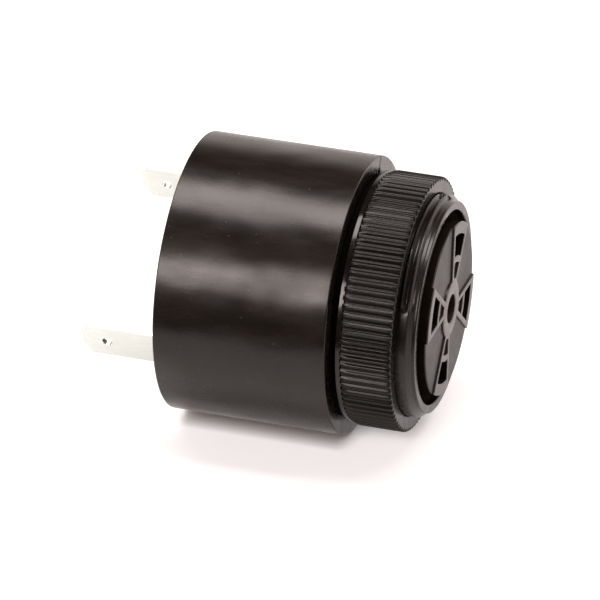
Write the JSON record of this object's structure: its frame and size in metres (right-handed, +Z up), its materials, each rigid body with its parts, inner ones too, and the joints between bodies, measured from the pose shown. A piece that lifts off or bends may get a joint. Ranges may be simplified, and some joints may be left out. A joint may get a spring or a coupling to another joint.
{
  "type": "piezo buzzer",
  "caption": "Round panel-mount piezo alarm: moulded body, slotted sound grille in a threaded nose, ribbed ring nut and push-on blade terminals.",
  "frame": {"origin": "on the sound axis, in the plane of the panel seat", "axes": "+X along the sound axis towards the grille, +Z up as the part lies in the picture"},
  "size_m": [0.054, 0.043, 0.043],
  "materials": {
    "housing_plastic": "satin moulded",
    "grille_plastic": "fine matt moulded",
    "nut_plastic": "satin moulded",
    "gasket_rubber": "matt",
    "cover_plastic": "matt moulded",
    "tinned_brass": "tin plated",
    "silicone": "matt",
    "brass": "rolled",
    "ceramic": "fired, silvered",
    "board": "lacquered",
    "package": "moulded",
    "ferrite": "sintered",
    "copper": "enamelled wire",
    "can": "sleeved can",
    "resistor": "lacquered",
    "wire_red": "insulated wire",
    "wire_black": "insulated wire",
    "wire_blue": "insulated wire",
    "solder": "soldered"
  },
  "bodies": {
    "housing": {"housing": "housing_plastic", "front_grille": "grille_plastic", "rear_cover": "cover_plastic", "terminal_positive": "tinned_brass", "terminal_negative": "tinned_brass", "support_ring": "silicone", "clamp_ring": "silicone", "piezo_plate": "brass", "piezo_ceramic": "ceramic", "circuit_board": "board", "transistor": "package", "coil_core": "ferrite", "coil_winding": "copper", "filter_capacitor": "can", "protection_diode": "package", "bias_resistor": "resistor", "emitter_resistor": "resistor", "feedback_resistor": "resistor", "lead_drive": "wire_red", "lead_ground": "wire_black", "lead_feedback": "wire_blue", "board_solder": "solder", "piezo_solder": "solder"},
    "panel_gasket": {"panel_gasket": "gasket_rubber"},
    "ring_nut": {"ring_nut": "nut_plastic"}
  },
  "joints": [
    {"name": "nut_advance", "type": "slide", "parent": "housing", "child": "panel_gasket", "axis": [1, 0, 0], "range_m": [0, 0.01016]},
    {"name": "nut_turn", "type": "hinge", "parent": "panel_gasket", "child": "ring_nut", "pos_m": [0.0053, 0, 0], "axis": [1, 0, 0], "range_deg": [0, 2880]}
  ],
  "couplings": [
    {"joint": "nut_advance", "follows": "nut_turn", "m_per_rad": 0.00020213}
  ]
}
